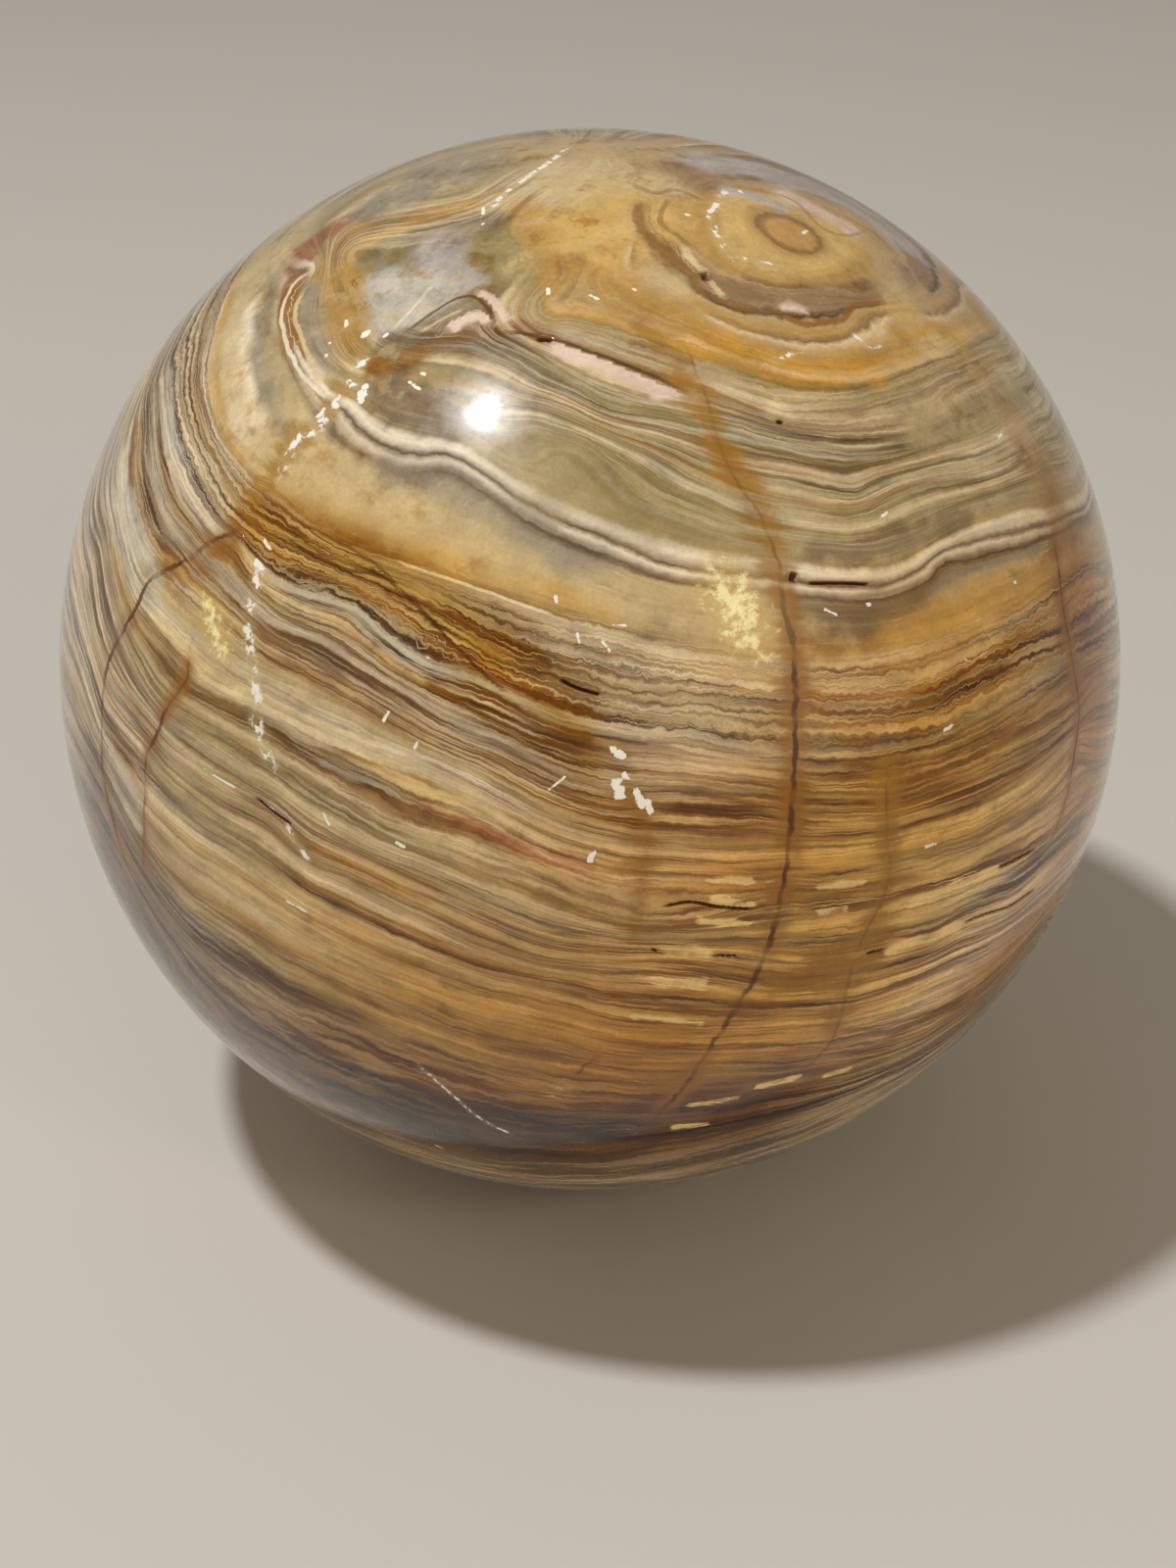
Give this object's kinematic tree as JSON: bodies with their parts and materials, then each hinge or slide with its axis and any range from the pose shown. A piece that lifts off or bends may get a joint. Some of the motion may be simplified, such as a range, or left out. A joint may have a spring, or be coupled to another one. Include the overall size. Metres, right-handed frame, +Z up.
{
  "type": "banded onyx sphere",
  "caption": "Polished solid ball of banded onyx in honey, cream, brown and grey-green, with a small flat ground under it, for display on a shelf or table.",
  "frame": {"origin": "centre of the small flat under the ball, on the surface that it stands on", "axes": "+Z up from the flat through the ball's centre, -Y towards the side that the picture shows, +X to the right as seen from there"},
  "size_m": [0.1, 0.1, 0.0994],
  "materials": {
    "banded_onyx": "high polish, translucent bands of honey, cream, pink, brown and grey-green, crossed by healed brown cracks"
  },
  "bodies": {
    "root": {"onyx_sphere": "banded_onyx"}
  },
  "joints": []
}
